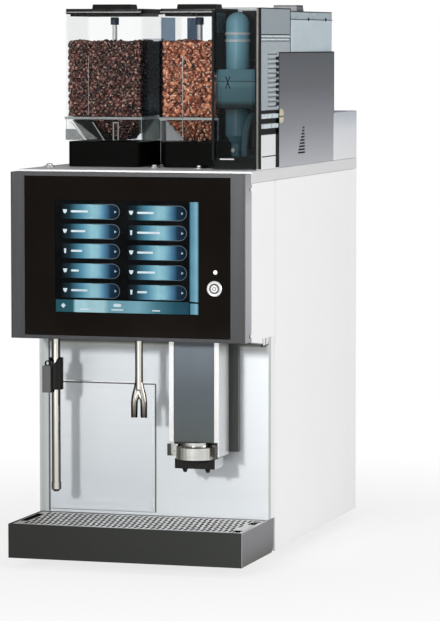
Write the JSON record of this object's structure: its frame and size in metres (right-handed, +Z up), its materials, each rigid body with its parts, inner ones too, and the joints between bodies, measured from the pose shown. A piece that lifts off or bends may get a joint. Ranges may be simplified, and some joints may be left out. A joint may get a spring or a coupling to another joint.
{
  "type": "bean to cup coffee machine",
  "caption": "Countertop bean to cup coffee machine with swinging touch panel, steam wand, sliding coffee outlet, bean hoppers, brew unit and drip tray.",
  "frame": {"origin": "on the worktop, under the middle of the machine's footprint", "axes": "+Z up, -Y towards the user at the front, +X to the user's right"},
  "size_m": [0.35, 0.65, 0.81],
  "materials": {
    "rubber": "matt",
    "zinc_sheet": "satin",
    "light_panel": "fine satin",
    "stainless": "brushed",
    "black_plastic": "semi-gloss",
    "anthracite": "satin",
    "black_glass": "gloss",
    "screen": "gloss",
    "lamp_lens": "gloss",
    "chrome": "polished",
    "outlet_grey": "satin",
    "tray_plastic": "matt",
    "clear_plastic": "clear",
    "smoked_plastic": "smoked clear",
    "coffee_beans": "oily",
    "light_roast_beans": "dry",
    "brew_teal": "semi-gloss",
    "cover_grey": "satin",
    "plate_grey": "satin",
    "canister_plastic": "satin",
    "latch_cream": "satin",
    "cast_metal": "as cast"
  },
  "bodies": {
    "chassis": {"foot_front_left": "rubber", "foot_front_right": "rubber", "foot_rear_left": "rubber", "foot_rear_right": "rubber", "base_pan": "zinc_sheet", "left_side_panel": "light_panel", "right_side_panel": "light_panel", "rear_panel": "zinc_sheet", "rear_connections": "black_plastic", "top_deck": "stainless", "front_wall": "stainless", "service_door": "stainless", "grounds_container": "black_plastic", "head_housing": "light_panel", "hot_water_spout": "chrome", "outlet_rail": "anthracite", "left_hopper_base": "black_plastic", "left_hopper": "clear_plastic", "left_hopper_rod": "chrome", "left_beans": "coffee_beans", "right_hopper_base": "black_plastic", "right_hopper": "clear_plastic", "right_hopper_rod": "chrome", "right_beans": "light_roast_beans", "left_grinder": "cast_metal", "right_grinder": "cast_metal", "brew_base": "black_plastic", "brew_cylinder": "brew_teal", "brew_hose": "rubber", "brew_side_plate": "plate_grey", "powder_canister": "canister_plastic", "side_cover": "cover_grey", "rear_cover": "light_panel", "steam_boiler": "stainless", "water_pump": "cast_metal", "control_box": "zinc_sheet"},
    "control_panel": {"panel_frame": "anthracite", "panel_glass": "black_glass", "touch_screen": "screen", "status_lamp": "lamp_lens", "button_ring": "chrome"},
    "power_button": {"power_button": "rubber"},
    "outlet": {"outlet_channel": "stainless", "outlet_cover": "outlet_grey", "outlet_ring": "stainless", "outlet_nozzles": "black_plastic"},
    "wand_cup": {"wand_cup": "chrome"},
    "steam_wand": {"steam_wand": "chrome", "wand_grip": "black_plastic"},
    "drip_tray": {"drip_tray": "tray_plastic"},
    "drip_grille": {"drip_grille": "stainless"},
    "left_lid": {"left_hopper_lid": "black_plastic"},
    "right_lid": {"right_hopper_lid": "black_plastic"},
    "canister_lid": {"canister_lid": "black_plastic"},
    "left_burr": {"left_burr": "stainless"},
    "right_burr": {"right_burr": "stainless"},
    "brew_piston": {"brew_piston": "stainless"},
    "smoked_cover": {"smoked_cover": "smoked_plastic"},
    "powder_auger": {"powder_auger": "stainless"},
    "cover_latch": {"cover_latch": "latch_cream"}
  },
  "joints": [
    {"name": "control_panel_hinge", "type": "hinge", "parent": "chassis", "child": "control_panel", "pos_m": [0.172, -0.281, 0.45], "axis": [0, 0, 1], "range_deg": [0, 110]},
    {"name": "power_button_press", "type": "slide", "parent": "control_panel", "child": "power_button", "axis": [0, 1, 0], "range_m": [0, 0.002], "stiffness_N_per_m": 300},
    {"name": "outlet_height", "type": "slide", "parent": "chassis", "child": "outlet", "axis": [0, 0, 1], "range_m": [0, 0.1]},
    {"name": "wand_swivel", "type": "hinge", "parent": "chassis", "child": "wand_cup", "pos_m": [-0.1274, -0.25, 0.3333], "axis": [0, 0, 1], "range_deg": [-60, 60]},
    {"name": "wand_tilt", "type": "hinge", "parent": "wand_cup", "child": "steam_wand", "pos_m": [-0.1274, -0.25, 0.3383], "axis": [-1, 0, 0], "range_deg": [0, 30]},
    {"name": "drip_tray_slide", "type": "slide", "parent": "chassis", "child": "drip_tray", "axis": [0, -1, 0], "range_m": [0, 0.13]},
    {"name": "grille_lift", "type": "slide", "parent": "drip_tray", "child": "drip_grille", "axis": [0, 0, 1], "range_m": [0, 0.03]},
    {"name": "left_lid_lift", "type": "slide", "parent": "chassis", "child": "left_lid", "axis": [0, 0, 1], "range_m": [0, 0.06]},
    {"name": "right_lid_lift", "type": "slide", "parent": "chassis", "child": "right_lid", "axis": [0, 0, 1], "range_m": [0, 0.06]},
    {"name": "canister_lid_lift", "type": "slide", "parent": "chassis", "child": "canister_lid", "axis": [0, 0, 1], "range_m": [0, 0.06]},
    {"name": "left_burr_spin", "type": "hinge", "parent": "chassis", "child": "left_burr", "pos_m": [-0.081, -0.09, 0.5067], "axis": [0, 0, 1], "continuous": true},
    {"name": "right_burr_spin", "type": "hinge", "parent": "chassis", "child": "right_burr", "pos_m": [0.0495, -0.09, 0.5067], "axis": [0, 0, 1], "continuous": true},
    {"name": "brew_piston_stroke", "type": "slide", "parent": "chassis", "child": "brew_piston", "axis": [0, 0, 1], "range_m": [0, 0.04]},
    {"name": "smoked_cover_lift", "type": "slide", "parent": "chassis", "child": "smoked_cover", "axis": [0, 0, 1], "range_m": [0, 0.235]},
    {"name": "auger_spin", "type": "hinge", "parent": "chassis", "child": "powder_auger", "pos_m": [0.1353, -0.0557, 0.611], "axis": [0, 1, 0], "continuous": true},
    {"name": "cover_latch_turn", "type": "hinge", "parent": "chassis", "child": "cover_latch", "pos_m": [0.175, -0.118, 0.6477], "axis": [1, 0, 0], "range_deg": [0, 90]}
  ]
}
